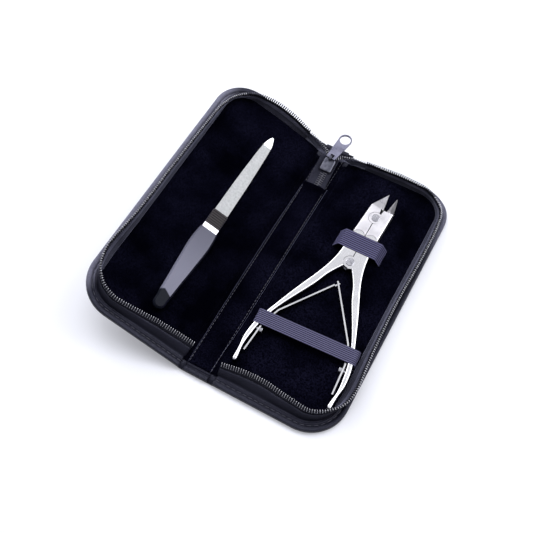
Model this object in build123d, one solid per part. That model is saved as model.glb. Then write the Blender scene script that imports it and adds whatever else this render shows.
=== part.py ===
from build123d import *
import os
from math import asin, cos, degrees, radians, sin, sqrt, tan

# ---------------------------------------------------------------- driving dimensions (mm, degrees)
# Case
case_length = 160.0        # along the spine
cover_width = 66.4         # fold line to the outer rim
spine_width = 16.0         # fold line to fold line
corner_radius = 20.0       # outer corners of a cover
leather = 1.2              # cover and spine leather
gusset_leather = 1.0       # wall leather
board = 0.7                # stiffener
velvet = 0.5               # lining
raise_angle = 23.1         # how far the left cover stands up at rest
fold_gap = 0.05            # fold bead to spine edge
rim_width = 4.6            # flat foot of the gusset on the cover's rim
rim_setback = 0.4          # foot edge inside the cover edge
closing_gap = 0.15         # each half's distance to the middle when shut
press_clear = 0.02         # round pieces pressed into each other
fold_clear = 1.9           # lining and wall ends to the fold line
floor_clear = 0.2          # board and lining edges to the wall
lining_clear = 0.3         # spine lining and trims to the folds
seat_gap = 0.3             # loose pieces above the lining
# Zip
zip_inset_side = 2.4       # top of the wall inside the rim, long side
zip_inset_near = 11.0      # the same on the near end, which leans in
zip_inset_far = 4.3        # the same on the far end
zip_corner_near = 10.0
zip_corner_far = 18.0
tape = 0.5
teeth_height = 2.4
teeth_width = 1.5
wing_length = 12.0         # flexible end of the chain beside the spine
wing_reach = (1.6, 0.5)    # wing's top from the slider's front corner, across and along
wing_sag = (3.0, 0.9, 1.6) # wing's foot from there, across, back and down
wing_edge = (0.8, 1.2)     # thickness at the slider and at the wall
tail_start = 50.0          # where the tail is sewn to the spine lining
tail_slope = 16.0
tail_width = 11.4
tail_offset = 0.3
tail_tape = 0.8
chain_width = 4.2
chain_height = 1.8
slider_offset = 1.3        # slider to the right of the middle
slider_place = 14.4        # slider centre along the tail
slider_length = 9.2
slider_width = 7.0
slider_plate = 0.9
slider_dome = 0.75         # rounding of the upper plate
slider_run = 2.0           # travel down the tail
pull_width = 5.6           # at its hinge
pull_end_width = 7.6
pull_reach = 14.4          # hinge to the centre of the round end
pull_hole_radius = 3.15
pull_thickness = 1.0
pull_tilt = 4.0            # up from level
pull_turn = 8.0            # towards the right cover
pull_slot = 2.4            # width of the slot for the bail
# Nipper
nipper_offset = 32.0       # middle line to the fold line
jaw_screw_y = 43.9
handle_screw_y = 12.4
nipper_thickness = 4.4
half_body = 7.3            # half width of the shank
slit = 0.4                 # slot between the two halves
open_angle = 7.5           # each jaw from shut to rest
blade_reach = 18.8         # jaw screw to tip
blade_line = 2.5           # cutting line to the right of the middle, when shut
blade_root_line = 1.2      # the same below the step
blade_root = 6.8           # jaw screw to the step
blade_gap = 0.06           # each blade to the cutting line
ground_start = 6.5         # jaw screw to the ground faces
ground_skew = 0.16         # the faces start further out along the outer edge
top_bevel = 10.0           # slope of the upper ground face
low_bevel = 6.0
left_shoulder = [(-5.9, 7.2)]              # outer corners of the jaws about the jaw screw
right_shoulder = [(7.5, 7.7), (7.7, 6.2)]
edge_strip = 1.6           # width of the strip along the cutting edge
rim_strip = 1.0            # width of the strip along the outer edge
strip_drop = 1.1           # depth of both strips
jaw_rounding = 0.7         # along the outer edges of the jaws
lap_clear = 0.05           # each side of a half lap
link_x = 3.6               # link pin from the middle line at rest
link_y = 17.0              # link pin above the handle screw
lobe_radius = 3.7          # lap discs at the two screws
jaw_bridge_start = 2.0     # each jaw's disc joins its body beyond this
link_lobe = 3.4            # lap discs at the link pins
link_notch = 1.2           # full thickness stops this far from the link pins
screw_radius = 1.6
screw_head_radius = 2.3
screw_head = 0.45
slot_angle = -40.0
pin_radius = 1.1
running_clear = 0.05
handle_length = 77.6       # handle screw to the handle's end
handle_spread = 26.8       # middle line to the handle's end
handle_end = 1.25          # half width of the handle's round end
handle_rounding = 0.9      # along both sides of the handles and round their ends
spring_thickness = 0.8
spring_height = 2.8
spring_seat = 0.8         # spring to the handle's inner face at the screw
spring_apex_drop = 13.9    # below the handle screw
spring_screw_share = 0.7242  # place of the spring screw along the handle
spring_screw_radius = 0.8
spring_head_radius = 1.6
spring_head = 1.5
spring_lean = 1.0          # lower end further out than the screw
spring_bend = (3.7, 13.6)  # upper bend from the screw, inwards and up
spring_knee = (0.2, 3.2)   # lower bend from the screw
spring_tail_share = 0.1778 # screw to the lower end, of the handle's length
spring_radius = 7.0
spring_tongue = 3.4        # half-height tongue at the crossing
spring_hole_clear = 0.15
# Elastic loops
elastic = 0.7
upper_loop_y = 25.0
upper_loop_width = 10.8
upper_loop_half = 10.7
upper_loop_foot = 13.9
lower_loop_y = -36.6
lower_loop_width = 8.2
lower_loop_room = 1.2      # loop outside the ends of the handles
lower_loop_shift = -0.4
lower_loop_skew = 2.8
file_loop_width = 9.4
file_loop_y = -2.8
# Nail file
file_offset = 27.8         # middle of the blade to the fold line
blade_width = 8.1
blade_thickness = 1.3
blade_tip = 59.5
blade_edge = ((3.93, 0.14), (3.65, 0.47), (3.2, 0.68), (2.75, 0.84), (1.75, 0.945), (0.7, 0.99))
                           # half widths, and places as shares of the way to the tip
tang_length = 6.0          # blade inside the handle
ferrule_top = -7.9
ferrule_length = 3.0
ferrule_width = 9.3
ferrule_wall = 0.6
handle_top_width = 9.8
handle_end_width = 6.8
handle_edge = ((5.65, 0.085), (5.9, 0.17), (5.4, 0.37), (4.8, 0.535), (4.2, 0.68), (3.7, 0.83))
                           # half widths, and places as shares of the handle's length
file_handle_length = 51.6
file_handle_thickness = 3.6

# ---------------------------------------------------------------- derived
half_length = case_length / 2
half_spine = spine_width / 2
fold_z = leather / 2
zip_top = half_spine + fold_z - closing_gap
floor_top = leather + board + velvet
seat = floor_top + seat_gap
nipper_x = half_spine + nipper_offset
nipper_top = seat + nipper_thickness
blade_bottom = seat + 0.4
screw_span = jaw_screw_y - handle_screw_y
spring_screw_drop = spring_screw_share * handle_length
spring_tail = spring_tail_share * handle_length
lower_loop_half = handle_spread + lower_loop_room
lap_reach = 3 * lobe_radius  # cuts a lap disc's surroundings
fork_half = 0.3 * half_body  # where the inner sides of the handles meet the lap
wall_rise = zip_top - leather


def save(shape, name):
    export_step(Compound(children=list(shape.solids())) if len(shape.solids()) > 1 else shape.solids()[0],
                f"parts/{name}.step")


# ---------------------------------------------------------------- placing
def to_right(shape):
    """Cover coordinates (x from the fold line) to the flat right half."""
    return Pos(half_spine, 0, 0) * shape


def left_place():
    return Pos(-half_spine, 0, fold_z) * Rot(0, raise_angle, 0) * Pos(0, 0, -fold_z)


def to_left(shape):
    """The mirror image, turned up about the left fold line."""
    return left_place() * mirror(shape, about=Plane.YZ)


# ---------------------------------------------------------------- plain shapes
def disc(radius, x=0.0, y=0.0):
    return Pos(x, y) * Circle(radius)


def polygon(points):
    return make_face(Polyline(*points, close=True).edges())


# ---------------------------------------------------------------- case
def inset(z, top_inset):
    return rim_width + (top_inset - rim_width) * (z - leather) / wall_rise


def lean(top_inset):
    """Horizontal share of a wall thickness on a leaning wall."""
    return sqrt(1 + ((top_inset - rim_width) / wall_rise) ** 2)


def corner(z, top_radius):
    foot_radius = corner_radius - rim_width
    return foot_radius + (top_radius - foot_radius) * (z - leather) / wall_rise


def tray_face(z, depth, start=0.0):
    """Section of the tray at height z, a wall depth inside the gusset's outer face."""
    side = cover_width - inset(z, zip_inset_side) - depth * lean(zip_inset_side)
    near = -half_length + inset(z, zip_inset_near) + depth * lean(zip_inset_near)
    far = half_length - inset(z, zip_inset_far) - depth * lean(zip_inset_far)
    sheet = Pos((start + side) / 2, (near + far) / 2) * Rectangle(side - start, far - near)
    near_corner, far_corner = sheet.vertices().group_by(Axis.X)[-1].sort_by(Axis.Y)
    sheet = fillet(near_corner, corner(z, zip_corner_near) - depth)
    far_corner = sheet.vertices().group_by(Axis.Y)[-1].sort_by(Axis.X)[-1]
    sheet = fillet(far_corner, corner(z, zip_corner_far) - depth)
    return Pos(0, 0, z) * sheet


def wall(z0, z1, depth0, depth1):
    """A leaning wall round three sides, between two depths."""
    outer = loft([tray_face(z0, depth0), tray_face(z1, depth0)], ruled=True)
    inner = loft([tray_face(z0, depth1, -1), tray_face(z1, depth1, -1)], ruled=True)
    ring = outer - inner
    ring -= Pos(0, -half_length, 0) * Box(2 * fold_clear, case_length, 4 * zip_top)
    ring -= Pos(0, half_length, 0) * Box(2 * wing_length, case_length, 4 * zip_top)
    return ring


def cover_face(setback, start):
    sheet = Pos((start + cover_width - setback) / 2, 0) * Rectangle(
        cover_width - setback - start, case_length - 2 * setback)
    return fillet(sheet.vertices().group_by(Axis.X)[-1], corner_radius - setback)


def cover_leather():
    panel = extrude(cover_face(0, 0), leather)
    bead = Pos(0, 0, fold_z) * Rot(90, 0, 0) * Cylinder(leather / 2, case_length)
    return panel + bead


def gusset():
    wall_top = zip_top - teeth_height
    rim = Pos(0, 0, leather) * extrude(cover_face(rim_setback, fold_clear), gusset_leather)
    rim -= loft([tray_face(leather, gusset_leather, -1), tray_face(wall_top, gusset_leather, -1)], ruled=True)
    rim -= Pos(0, half_length, leather) * Box(2 * wing_length, 4 * rim_width, 4 * gusset_leather)
    return rim + wall(leather, wall_top, 0, gusset_leather)


def zip_tape():
    return wall(leather, zip_top - teeth_height, gusset_leather, gusset_leather + tape)


def zip_teeth():
    start = (gusset_leather + tape - teeth_width) / 2
    return wall(zip_top - teeth_height, zip_top, start, start + teeth_width)


def floor_sheet(bottom, thickness):
    depth = gusset_leather + tape + floor_clear
    lower = extrude(tray_face(bottom, depth, fold_clear), thickness)
    upper = extrude(tray_face(bottom + thickness, depth, fold_clear), -thickness)
    return lower & upper


def spine_half_width(gap):
    return half_spine - leather / 2 - gap


def spine_leather():
    return Pos(0, 0, leather / 2) * Box(2 * spine_half_width(fold_gap), case_length, leather)


def spine_lining():
    near = -half_length + rim_width + 0.1
    far = half_length - rim_width - 0.1
    return Pos(0, (near + far) / 2, leather + velvet / 2) * Box(
        2 * spine_half_width(lining_clear), far - near, velvet)


def spine_end_trims():
    depth = rim_width - rim_setback
    return Compound(children=[
        Pos(0, end * (half_length - rim_setback - depth / 2), leather + gusset_leather / 2)
        * Box(2 * spine_half_width(lining_clear), depth, gusset_leather)
        for end in (-1, 1)])


# ---------------------------------------------------------------- zip end, slider and pull
tail_lift = leather + velvet + tail_tape / 2 + 0.15
slider_gap = chain_height / 2 + 0.2
slider_top = slider_gap + slider_plate
pull_hinge_y = slider_place + slider_length / 2 - 1.0
pull_bar = 0.55
bail_inner = pull_bar + 0.4
bail_outer = bail_inner + 0.8
bail_half_width = 0.7
pull_hinge_z = slider_top + pull_bar + 0.25
wedge_length = 2.0


def on_tail(x=0.0):
    return Pos(x, tail_start, tail_lift) * Rot(tail_slope, 0, 0)


def zip_tail():
    wedge_back = slider_place + slider_length / 2 - 0.4 - wedge_length
    chain_end = wedge_back - slider_run - 0.3
    tape_end = slider_place + slider_length / 2 - 0.3
    sheet = Pos(tail_offset - slider_offset, tape_end / 2, 0) * Box(tail_width, tape_end, tail_tape)
    sheet -= Pos(0, chain_end + (tape_end - chain_end) / 2 + 0.5, 0) * Box(
        2.6, tape_end - chain_end + 1, 2 * tail_tape)
    chain = Pos(0, chain_end / 2, 0) * Box(chain_width, chain_end, chain_height)
    lining_below = Pos(0, tail_start, 0) * Box(case_length, case_length, 2 * (leather + velvet + press_clear))
    return on_tail(slider_offset) * (sheet + chain) - lining_below


def slider():
    shield = Rectangle(slider_width, slider_length)
    shield = fillet(shield.vertices().group_by(Axis.Y)[-1], slider_width * 0.42)
    shield = fillet(shield.vertices().group_by(Axis.Y)[0], 0.8)
    shield = Pos(0, slider_place) * shield
    top = Pos(0, 0, slider_gap) * extrude(shield, slider_plate)
    top = fillet(top.faces().sort_by(Axis.Z)[-1].edges(), slider_dome)
    bottom = Pos(0, 0, -slider_top) * extrude(shield, slider_plate)
    front = slider_place + slider_length / 2 - 0.4
    wedge = Pos(0, front - wedge_length / 2, 0) * Box(1.6, wedge_length, 2 * slider_gap)
    ring = Circle(bail_outer) - Circle(bail_inner)
    ring += Pos(0, -bail_outer / 2) * (Rectangle(2 * bail_outer, bail_outer)
                                       - Rectangle(2 * bail_inner, bail_outer))
    bail = Pos(0, pull_hinge_y, pull_hinge_z) * (Plane.YZ * extrude(ring, bail_half_width, both=True))
    keep = slider_length
    bail = bail & Pos(0, pull_hinge_y, slider_top + keep / 2 - lap_clear) * Box(keep, keep, keep)
    body = top + bottom + wedge + bail
    return on_tail(slider_offset) * body


def pull_hinge():
    return (on_tail(slider_offset) * Pos(0, pull_hinge_y, pull_hinge_z)).position


def pull():
    root, end = pull_width / 2, pull_end_width / 2
    plate = polygon([(-root, 0), (root, 0), (end, pull_reach), (-end, pull_reach)])
    plate += disc(end, 0, pull_reach)
    plate -= disc(pull_hole_radius, 0, pull_reach)
    slot_start = pull_bar + 0.1
    slot_end = bail_outer + 0.5
    plate -= Pos(0, slot_start - 2) * Rectangle(pull_width + 1, 4)
    plate = extrude(plate, pull_thickness / 2, both=True)
    arm = (pull_width - pull_slot) / 2
    slot = Pos(0, slot_end / 2, 0) * Box(pull_slot, slot_end, 2 * pull_thickness)
    bar = Rot(0, 90, 0) * Cylinder(pull_bar, pull_width)
    body = plate - slot + bar
    for side in (-1, 1):
        body += Pos(side * (pull_slot + arm) / 2, slot_start / 2, 0) * Box(arm, slot_start, 2 * pull_bar)
    return Location(pull_hinge()) * Rot(0, 0, -pull_turn) * Rot(pull_tilt, 0, 0) * body


def wing_section(top, bottom, thickness):
    """A thin upright section of the chain and its tape."""
    rise = top - bottom
    side = Vector(0, thickness, 0)
    return Face(Wire.make_polygon([bottom, bottom + rise, bottom + rise + side, bottom + side]))


def right_wing_end():
    """Bottom and top of the wall's inner middle at the wing, in cover coordinates."""
    depth = (gusset_leather + tape) / 2
    ends = []
    for z in (floor_top + 0.3, zip_top):
        far = half_length - inset(z, zip_inset_far) - depth * lean(zip_inset_far)
        ends.append(Vector(wing_length - 0.2, far - 0.75, z))
    return ends


def wing(side):
    across, along = wing_reach
    out, back, down = wing_sag
    slider_front = on_tail(slider_offset) * Pos(side * across, slider_place + slider_length / 2 + along, 0)
    start_top = slider_front.position + Vector(0, 0, chain_height / 2)
    start_bottom = slider_front.position + Vector(side * out, -back, -down)
    bottom, top = right_wing_end()
    if side > 0:
        bottom, top = (Vector(half_spine, 0, 0) + p for p in (bottom, top))
    else:
        bottom, top = ((left_place() * Pos(-p.X, p.Y, p.Z)).position for p in (bottom, top))
    at_slider, at_wall = wing_edge
    return loft([wing_section(start_top, start_bottom, at_slider), wing_section(top, bottom, at_wall)],
                ruled=True)


# ---------------------------------------------------------------- elastic loops
def upper_loop():
    rise = nipper_top + 0.2 - floor_top
    top = upper_loop_half + elastic / 2
    foot = upper_loop_foot - 1.2 * elastic
    outer = polygon([(-upper_loop_foot, 0), (upper_loop_foot, 0), (top, rise + elastic), (-top, rise + elastic)])
    inner = polygon([(-foot, 0), (foot, 0), (upper_loop_half, rise), (-upper_loop_half, rise)])
    band = Rot(90, 0, 0) * extrude(outer - inner, upper_loop_width / 2, both=True)
    return Pos(nipper_x, upper_loop_y, floor_top) * band


def lower_loop():
    rise = nipper_top + 0.2 - floor_top
    half = lower_loop_half
    outer = Pos(0, (rise + elastic) / 2) * Rectangle(2 * (half + elastic), rise + elastic)
    inner = Pos(0, rise / 2) * Rectangle(2 * half, rise)
    band = Rot(90, 0, 0) * extrude(outer - inner, lower_loop_width / 2, both=True)
    return Pos(nipper_x + lower_loop_shift, lower_loop_y, floor_top) * Rot(0, 0, lower_loop_skew) * band


def file_loop():
    rise = blade_bottom + blade_thickness + 0.2 - floor_top
    half = blade_width / 2 + 0.4
    outer = Pos(0, (rise + elastic) / 2) * Rectangle(2 * (half + elastic), rise + elastic)
    inner = Pos(0, rise / 2) * Rectangle(2 * half, rise)
    band = Rot(90, 0, 0) * extrude(outer - inner, file_loop_width / 2, both=True)
    return Pos(file_offset, file_loop_y, floor_top) * band


# ---------------------------------------------------------------- nail nipper
def at_handle_screw(shape):
    return Pos(nipper_x, handle_screw_y, seat) * shape


def at_jaw_screw(shape):
    return Pos(nipper_x, jaw_screw_y, seat) * shape


def slab(face, low, high):
    """A flat piece between two fractions of the nipper's thickness, less the lap clearance."""
    bottom = low * nipper_thickness + (lap_clear if low > 0 else 0)
    top = high * nipper_thickness - (lap_clear if high < 1 else 0)
    return Pos(0, 0, bottom) * extrude(face, top - bottom)


def turned(point, angle):
    c, s = cos(radians(angle)), sin(radians(angle))
    return (point[0] * c - point[1] * s, point[0] * s + point[1] * c)


def handle_plan():
    """Plan of the left handle about its screw, without the lap discs."""
    front = link_y - link_notch
    end_y = handle_end - handle_length
    out, down = -handle_spread, -handle_length
    middle = out + 0.6
    outer = Spline((-half_body, front), (-half_body - 0.6, 1.5 * lobe_radius), (-half_body - 2.2, -lobe_radius),
                   (0.627 * out, 0.303 * down), (out + 2.2, 0.5735 * down), (out - 1.0, 0.7152 * down),
                   (out - 1.6, 0.8312 * down), (middle - handle_end, end_y),
                   tangents=((-1, -20), (0, -1)))
    inner = Spline((middle + handle_end, end_y), (out + 1.0, 0.8892 * down), (out + 1.3, 0.799 * down),
                   (out + 2.5, 0.6907 * down), (out + 5.0, 0.5747 * down), (0.3545 * out, 0.232 * down),
                   (-fork_half, 0.0451 * down), tangents=((0, 1), (2, 3)))
    end = ThreePointArc(outer @ 1, (middle, down), inner @ 0)
    front_edges = Polyline(inner @ 1, (-slit / 2, 0), (-slit / 2, front), outer @ 0)
    return make_face([*outer.edges(), *end.edges(), *inner.edges(), *front_edges.edges()])


def handle(upper):
    """The left handle's shape; upper says which half of the lap at the main screw it holds."""
    arm = extrude(handle_plan(), nipper_thickness)
    long_edges = arm.edges().filter_by(lambda e: e.length > 0.8 * handle_length)
    arm = fillet(long_edges + arm.edges().filter_by(GeomType.CIRCLE), handle_rounding)
    clear = slit / 2
    arm -= extrude(disc(lobe_radius + clear), nipper_thickness)
    arm -= extrude(disc(link_lobe + clear, -link_x, link_y), nipper_thickness)
    low, high = (0.5, 1) if upper else (0, 0.5)
    main_lobe = slab(disc(lobe_radius), low, high)
    main_bridge = slab(disc(lobe_radius + 2 * clear) & Pos(-half_body / 2, 0)
                       * Rectangle(half_body - slit, 2 * lap_reach),
                       low, high)
    link_bridge = slab(disc(link_lobe + 2 * clear, -link_x, link_y)
                       & Pos(-half_body / 2, link_y - link_notch - lap_reach / 2)
                       * Rectangle(half_body - slit, lap_reach), 0.5, 1)
    body = arm + main_lobe + main_bridge + slab(disc(link_lobe, -link_x, link_y), 0.5, 1) + link_bridge
    body -= extrude(disc(screw_radius + running_clear), nipper_thickness)
    body -= extrude(disc(pin_radius + press_clear, -link_x, link_y), nipper_thickness)
    screw_hole = Pos(-spring_place()[0] - spring_screw_depth() / 2, -spring_screw_drop, nipper_thickness / 2)
    body -= screw_hole * Rot(0, 90, 0) * Cylinder(spring_screw_radius + press_clear,
                                                  spring_screw_depth() + press_clear)
    return body


def spring_place():
    """Spring's middle from the middle line at its screw, and at its lower end."""
    middle = handle_spread - 2.1 - spring_seat - spring_thickness / 2
    return (middle, middle + spring_lean)


def spring_screw_depth():
    """Length of the spring screw from the spring's middle to its point in the handle."""
    return spring_thickness / 2 + spring_seat + 2.0


def spring():
    """The left leaf spring about the handle screw."""
    middle, low = spring_place()
    apex = Vector(0, -spring_apex_drop)
    screw = Vector(-middle, -spring_screw_drop)
    bend = screw + Vector(*spring_bend)
    end = Vector(-low, -spring_screw_drop - spring_tail)
    along = (bend - apex).normalized()
    path = FilletPolyline(apex + along * 2.0, bend, screw + Vector(*spring_knee), end, radius=spring_radius)
    section = Plane(origin=path @ 0, x_dir=(0, 0, 1), z_dir=path % 0) * Rectangle(spring_height, spring_thickness)
    strip = sweep(section, path)
    tongue = Box(spring_thickness, spring_tongue, spring_height / 2 - 2 * lap_clear)
    tongue = Pos(*(apex + along * 0.5)) * Rot(0, 0, degrees(asin(along.X))) * tongue
    strip += Pos(0, 0, -spring_height / 4 - lap_clear) * tongue
    hole = Pos(*screw) * Rot(0, 90, 0) * Cylinder(spring_screw_radius + spring_hole_clear, 6)
    return Pos(0, 0, nipper_thickness / 2) * (strip - hole)


def spring_screw():
    middle = spring_place()[0]
    head_gap = spring_thickness / 2 + spring_hole_clear
    length = spring_screw_depth() + head_gap
    shaft = Pos(head_gap - length / 2, 0, 0) * Rot(0, 90, 0) * Cylinder(spring_screw_radius, length)
    head = Pos(head_gap + spring_head / 2, 0, 0) * Rot(0, 90, 0) * Cylinder(spring_head_radius, spring_head)
    head = fillet(head.edges().filter_by(GeomType.CIRCLE).sort_by(Axis.X)[-1], 0.3)
    head -= Pos(head_gap + spring_head, 0, 0) * Box(0.8, 4, 0.5)
    return Pos(-middle, -spring_screw_drop, nipper_thickness / 2) * (shaft + head)


def below(shape, a, b, c):
    """What lies under the plane through three points."""
    normal = (b - a).cross(c - a)
    return split(shape, bisect_by=Plane(origin=a, z_dir=normal if normal.Z > 0 else -normal), keep=Keep.BOTTOM)


def jaw_plan(side):
    """Plan of a jaw about its screw at rest, without the lap discs."""
    tail_end = link_y - screw_span + link_notch
    line = blade_line + side * blade_gap
    root = blade_root_line + side * blade_gap
    blade = [(root, 2.4), (root, blade_root), (line, blade_root), (line, blade_reach),
             (line + side * 0.4, blade_reach)]
    blade = [turned(p, -side * open_angle) for p in blade]
    outside = left_shoulder if side < 0 else right_shoulder
    return polygon([(side * slit / 2, tail_end), (side * slit / 2, jaw_bridge_start), *blade, *outside,
                    (side * half_body, tail_end)])


def ground(body, side):
    """Grind a jaw's front: a main slope with a strip along each edge above, one slope below."""
    front_start = ground_start - (3.0 if side < 0 else 0)
    block = Box(case_length, case_length, case_length)
    rear = body & Pos(0, front_start - half_length, 0) * block
    blade = body & Pos(0, front_start + half_length, 0) * block
    top = nipper_thickness
    fall = tan(radians(top_bevel))
    edge = [Vector(*turned((blade_line, y), -side * open_angle)) for y in (ground_start, blade_reach)]
    outer = Vector(side * (half_body - 1.0), ground_start + ground_skew * half_body)
    drop = Vector(0, 0, strip_drop)
    start = edge[0] + Vector(side * edge_strip, 0, top)
    far_start = outer - Vector(side * rim_strip, 0, 0) + Vector(0, 0, top)
    tip = edge[1] + Vector(0, 0, top - fall * (blade_reach - ground_start))
    blade = below(blade, start, far_start, tip)
    blade = below(blade, start, tip, edge[0] + Vector(0, 0, top) - drop)
    blade = below(blade, far_start, tip, outer + Vector(0, 0, top) - drop)
    under = Plane(origin=(0, ground_start, 0), z_dir=(0, -sin(radians(low_bevel)), cos(radians(low_bevel))))
    return rear + split(blade, bisect_by=under, keep=Keep.TOP)


def jaw(side):
    """A jaw at rest. side is -1 for the left one, 1 for the right one, whose disc is the upper one."""
    body = extrude(jaw_plan(side), nipper_thickness)
    outer = body.edges().filter_by(lambda e: side * e.center().X > half_body - 1 and abs(e.tangent_at(0).Y) > 0.9
                                   and e.length > half_body)
    body = ground(fillet(outer, jaw_rounding), side)
    clear = slit / 2
    link = (side * link_x, link_y - screw_span)
    body -= extrude(disc(lobe_radius + clear), nipper_thickness)
    body -= extrude(disc(link_lobe + clear, *link), nipper_thickness)
    low, high = (0, 0.5) if side < 0 else (0.5, 1)
    side_box = Pos(side * (jaw_bridge_start + lap_reach / 2), 0) * Rectangle(lap_reach, 2 * lap_reach)
    body += slab(disc(lobe_radius), low, high) + slab(disc(lobe_radius + 2 * clear) & side_box, low, high)
    link_side = Pos(side * half_body / 2, link[1] + link_notch + lap_reach / 2) * Rectangle(
        half_body - slit, lap_reach)
    body += slab(disc(link_lobe, *link), 0, 0.5) + slab(disc(link_lobe + 2 * clear, *link) & link_side, 0, 0.5)
    body -= extrude(disc(screw_radius + (press_clear if side < 0 else 2 * running_clear)), nipper_thickness)
    return body - extrude(disc(pin_radius + running_clear, *link), nipper_thickness)


def slotted_screw():
    shaft = Pos(0, 0, nipper_thickness / 2 + 0.05) * Cylinder(screw_radius, nipper_thickness - 0.1)
    head = Pos(0, 0, nipper_thickness + screw_head / 2 + press_clear) * Cylinder(screw_head_radius, screw_head)
    head = fillet(head.edges().filter_by(GeomType.CIRCLE).sort_by(Axis.Z)[-1], screw_head * 0.6)
    head -= Pos(0, 0, nipper_thickness + screw_head) * Rot(0, 0, slot_angle) * Box(6, 0.6, 0.5)
    neck = Pos(0, 0, nipper_thickness) * Cylinder(screw_radius, 0.1)
    return shaft + neck + head


def link_pin():
    return Pos(-link_x, link_y, nipper_thickness / 2) * Cylinder(pin_radius, nipper_thickness - 0.3)


def right_hand(shape):
    return mirror(shape, about=Plane.YZ)


def turned_over(shape):
    """The same piece for the other side of the springs' crossing."""
    return Pos(0, 0, nipper_thickness) * mirror(shape, about=Plane.XY)


# ---------------------------------------------------------------- nail file
def on_file(shape):
    """File coordinates: x across, y as on the cover, z up from the lining."""
    return Pos(file_offset, 0, 0) * shape


def file_blade():
    half = blade_width / 2
    foot = ferrule_top - ferrule_length - tang_length
    edge = Spline((half, 0), *((width, share * blade_tip) for width, share in blade_edge))
    right = [Polyline((half, foot), edge @ 0), edge]
    left = [mirror(line, about=Plane.YZ) for line in right]
    nose = ThreePointArc(edge @ 1, (0, blade_tip), mirror(edge, about=Plane.YZ) @ 1)
    base = Polyline((half, foot), (-half, foot))
    edges = [e for line in [*right, *left, nose, base] for e in line.edges()]
    plate = extrude(make_face(edges), blade_thickness)
    return on_file(Pos(0, 0, blade_bottom) * plate)


def file_ferrule():
    block = Box(ferrule_width, ferrule_length, blade_thickness + 2 * ferrule_wall)
    block = fillet(block.edges().filter_by(Axis.Y), 0.5)
    block -= Box(blade_width + 2 * press_clear, ferrule_length + 1, blade_thickness + 2 * press_clear)
    return on_file(Pos(0, ferrule_top - ferrule_length / 2, blade_bottom + blade_thickness / 2) * block)


def file_handle():
    top = ferrule_top - ferrule_length - press_clear
    end_y = top - file_handle_length
    half = handle_end_width / 2
    right = Spline((handle_top_width / 2, top), *((width, top - share * file_handle_length)
                                                  for width, share in handle_edge), (half, end_y + half),
                   tangents=((1.0, -2.0), (0.0, -1.0)))
    nose = ThreePointArc((half, end_y + half), (0, end_y), (-half, end_y + half))
    left = mirror(right, about=Plane.YZ)
    base = Polyline(right @ 0, left @ 0)
    plan = make_face([*right.edges(), *nose.edges(), *left.edges(), *base.edges()])
    grip = extrude(plan, file_handle_thickness)
    rim = grip.faces().sort_by(Axis.Z)[-1].edges() + grip.faces().sort_by(Axis.Z)[0].edges()
    grip = chamfer(rim, 0.9)
    foot = ferrule_top - ferrule_length - tang_length
    pocket = Pos(0, (foot + top) / 2 + 0.5, blade_bottom - seat + blade_thickness / 2) * Box(
        blade_width + 2 * press_clear, top - foot + 1 + 2 * press_clear, blade_thickness + 2 * press_clear)
    return on_file(Pos(0, 0, seat) * (grip - pocket))


# ---------------------------------------------------------------- all pieces
os.makedirs("parts", exist_ok=True)

cover_pieces = {
    "cover_leather": cover_leather(),
    "board": floor_sheet(leather, board),
    "lining": floor_sheet(leather + board, velvet),
    "gusset": gusset(),
    "zip_tape": zip_tape(),
    "zip_teeth": zip_teeth(),
}
for name, piece in cover_pieces.items():
    save(to_right(piece), f"right_{name}")
    save(to_left(piece), f"left_{name}")

save(spine_leather(), "spine_leather")
save(spine_lining(), "spine_lining")
save(spine_end_trims(), "spine_end_trims")
save(zip_tail(), "zip_tail")
save(wing(-1), "left_zip_wing")
save(wing(1), "right_zip_wing")
save(slider(), "zip_slider")
save(pull(), "zip_pull")

save(upper_loop(), "nipper_upper_loop")
save(lower_loop(), "nipper_lower_loop")
save(to_left(file_loop()), "file_loop")

save(at_handle_screw(handle(False)), "left_handle")
save(at_handle_screw(right_hand(handle(True))), "right_handle")
save(at_handle_screw(slotted_screw()), "handle_screw")
save(at_handle_screw(link_pin()), "left_link_pin")
save(at_handle_screw(right_hand(link_pin())), "right_link_pin")
save(at_handle_screw(spring()), "left_spring")
save(at_handle_screw(turned_over(right_hand(spring()))), "right_spring")
save(at_handle_screw(spring_screw()), "left_spring_screw")
save(at_handle_screw(right_hand(spring_screw())), "right_spring_screw")
save(at_jaw_screw(jaw(-1)), "left_jaw")
save(at_jaw_screw(jaw(1)), "right_jaw")
save(at_jaw_screw(slotted_screw()), "jaw_screw")

save(to_left(file_blade()), "file_blade")
save(to_left(file_ferrule()), "file_ferrule")
save(to_left(file_handle()), "file_handle")
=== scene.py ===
import math

import bmesh
import bpy
from mathutils import Matrix, Vector, noise


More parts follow.
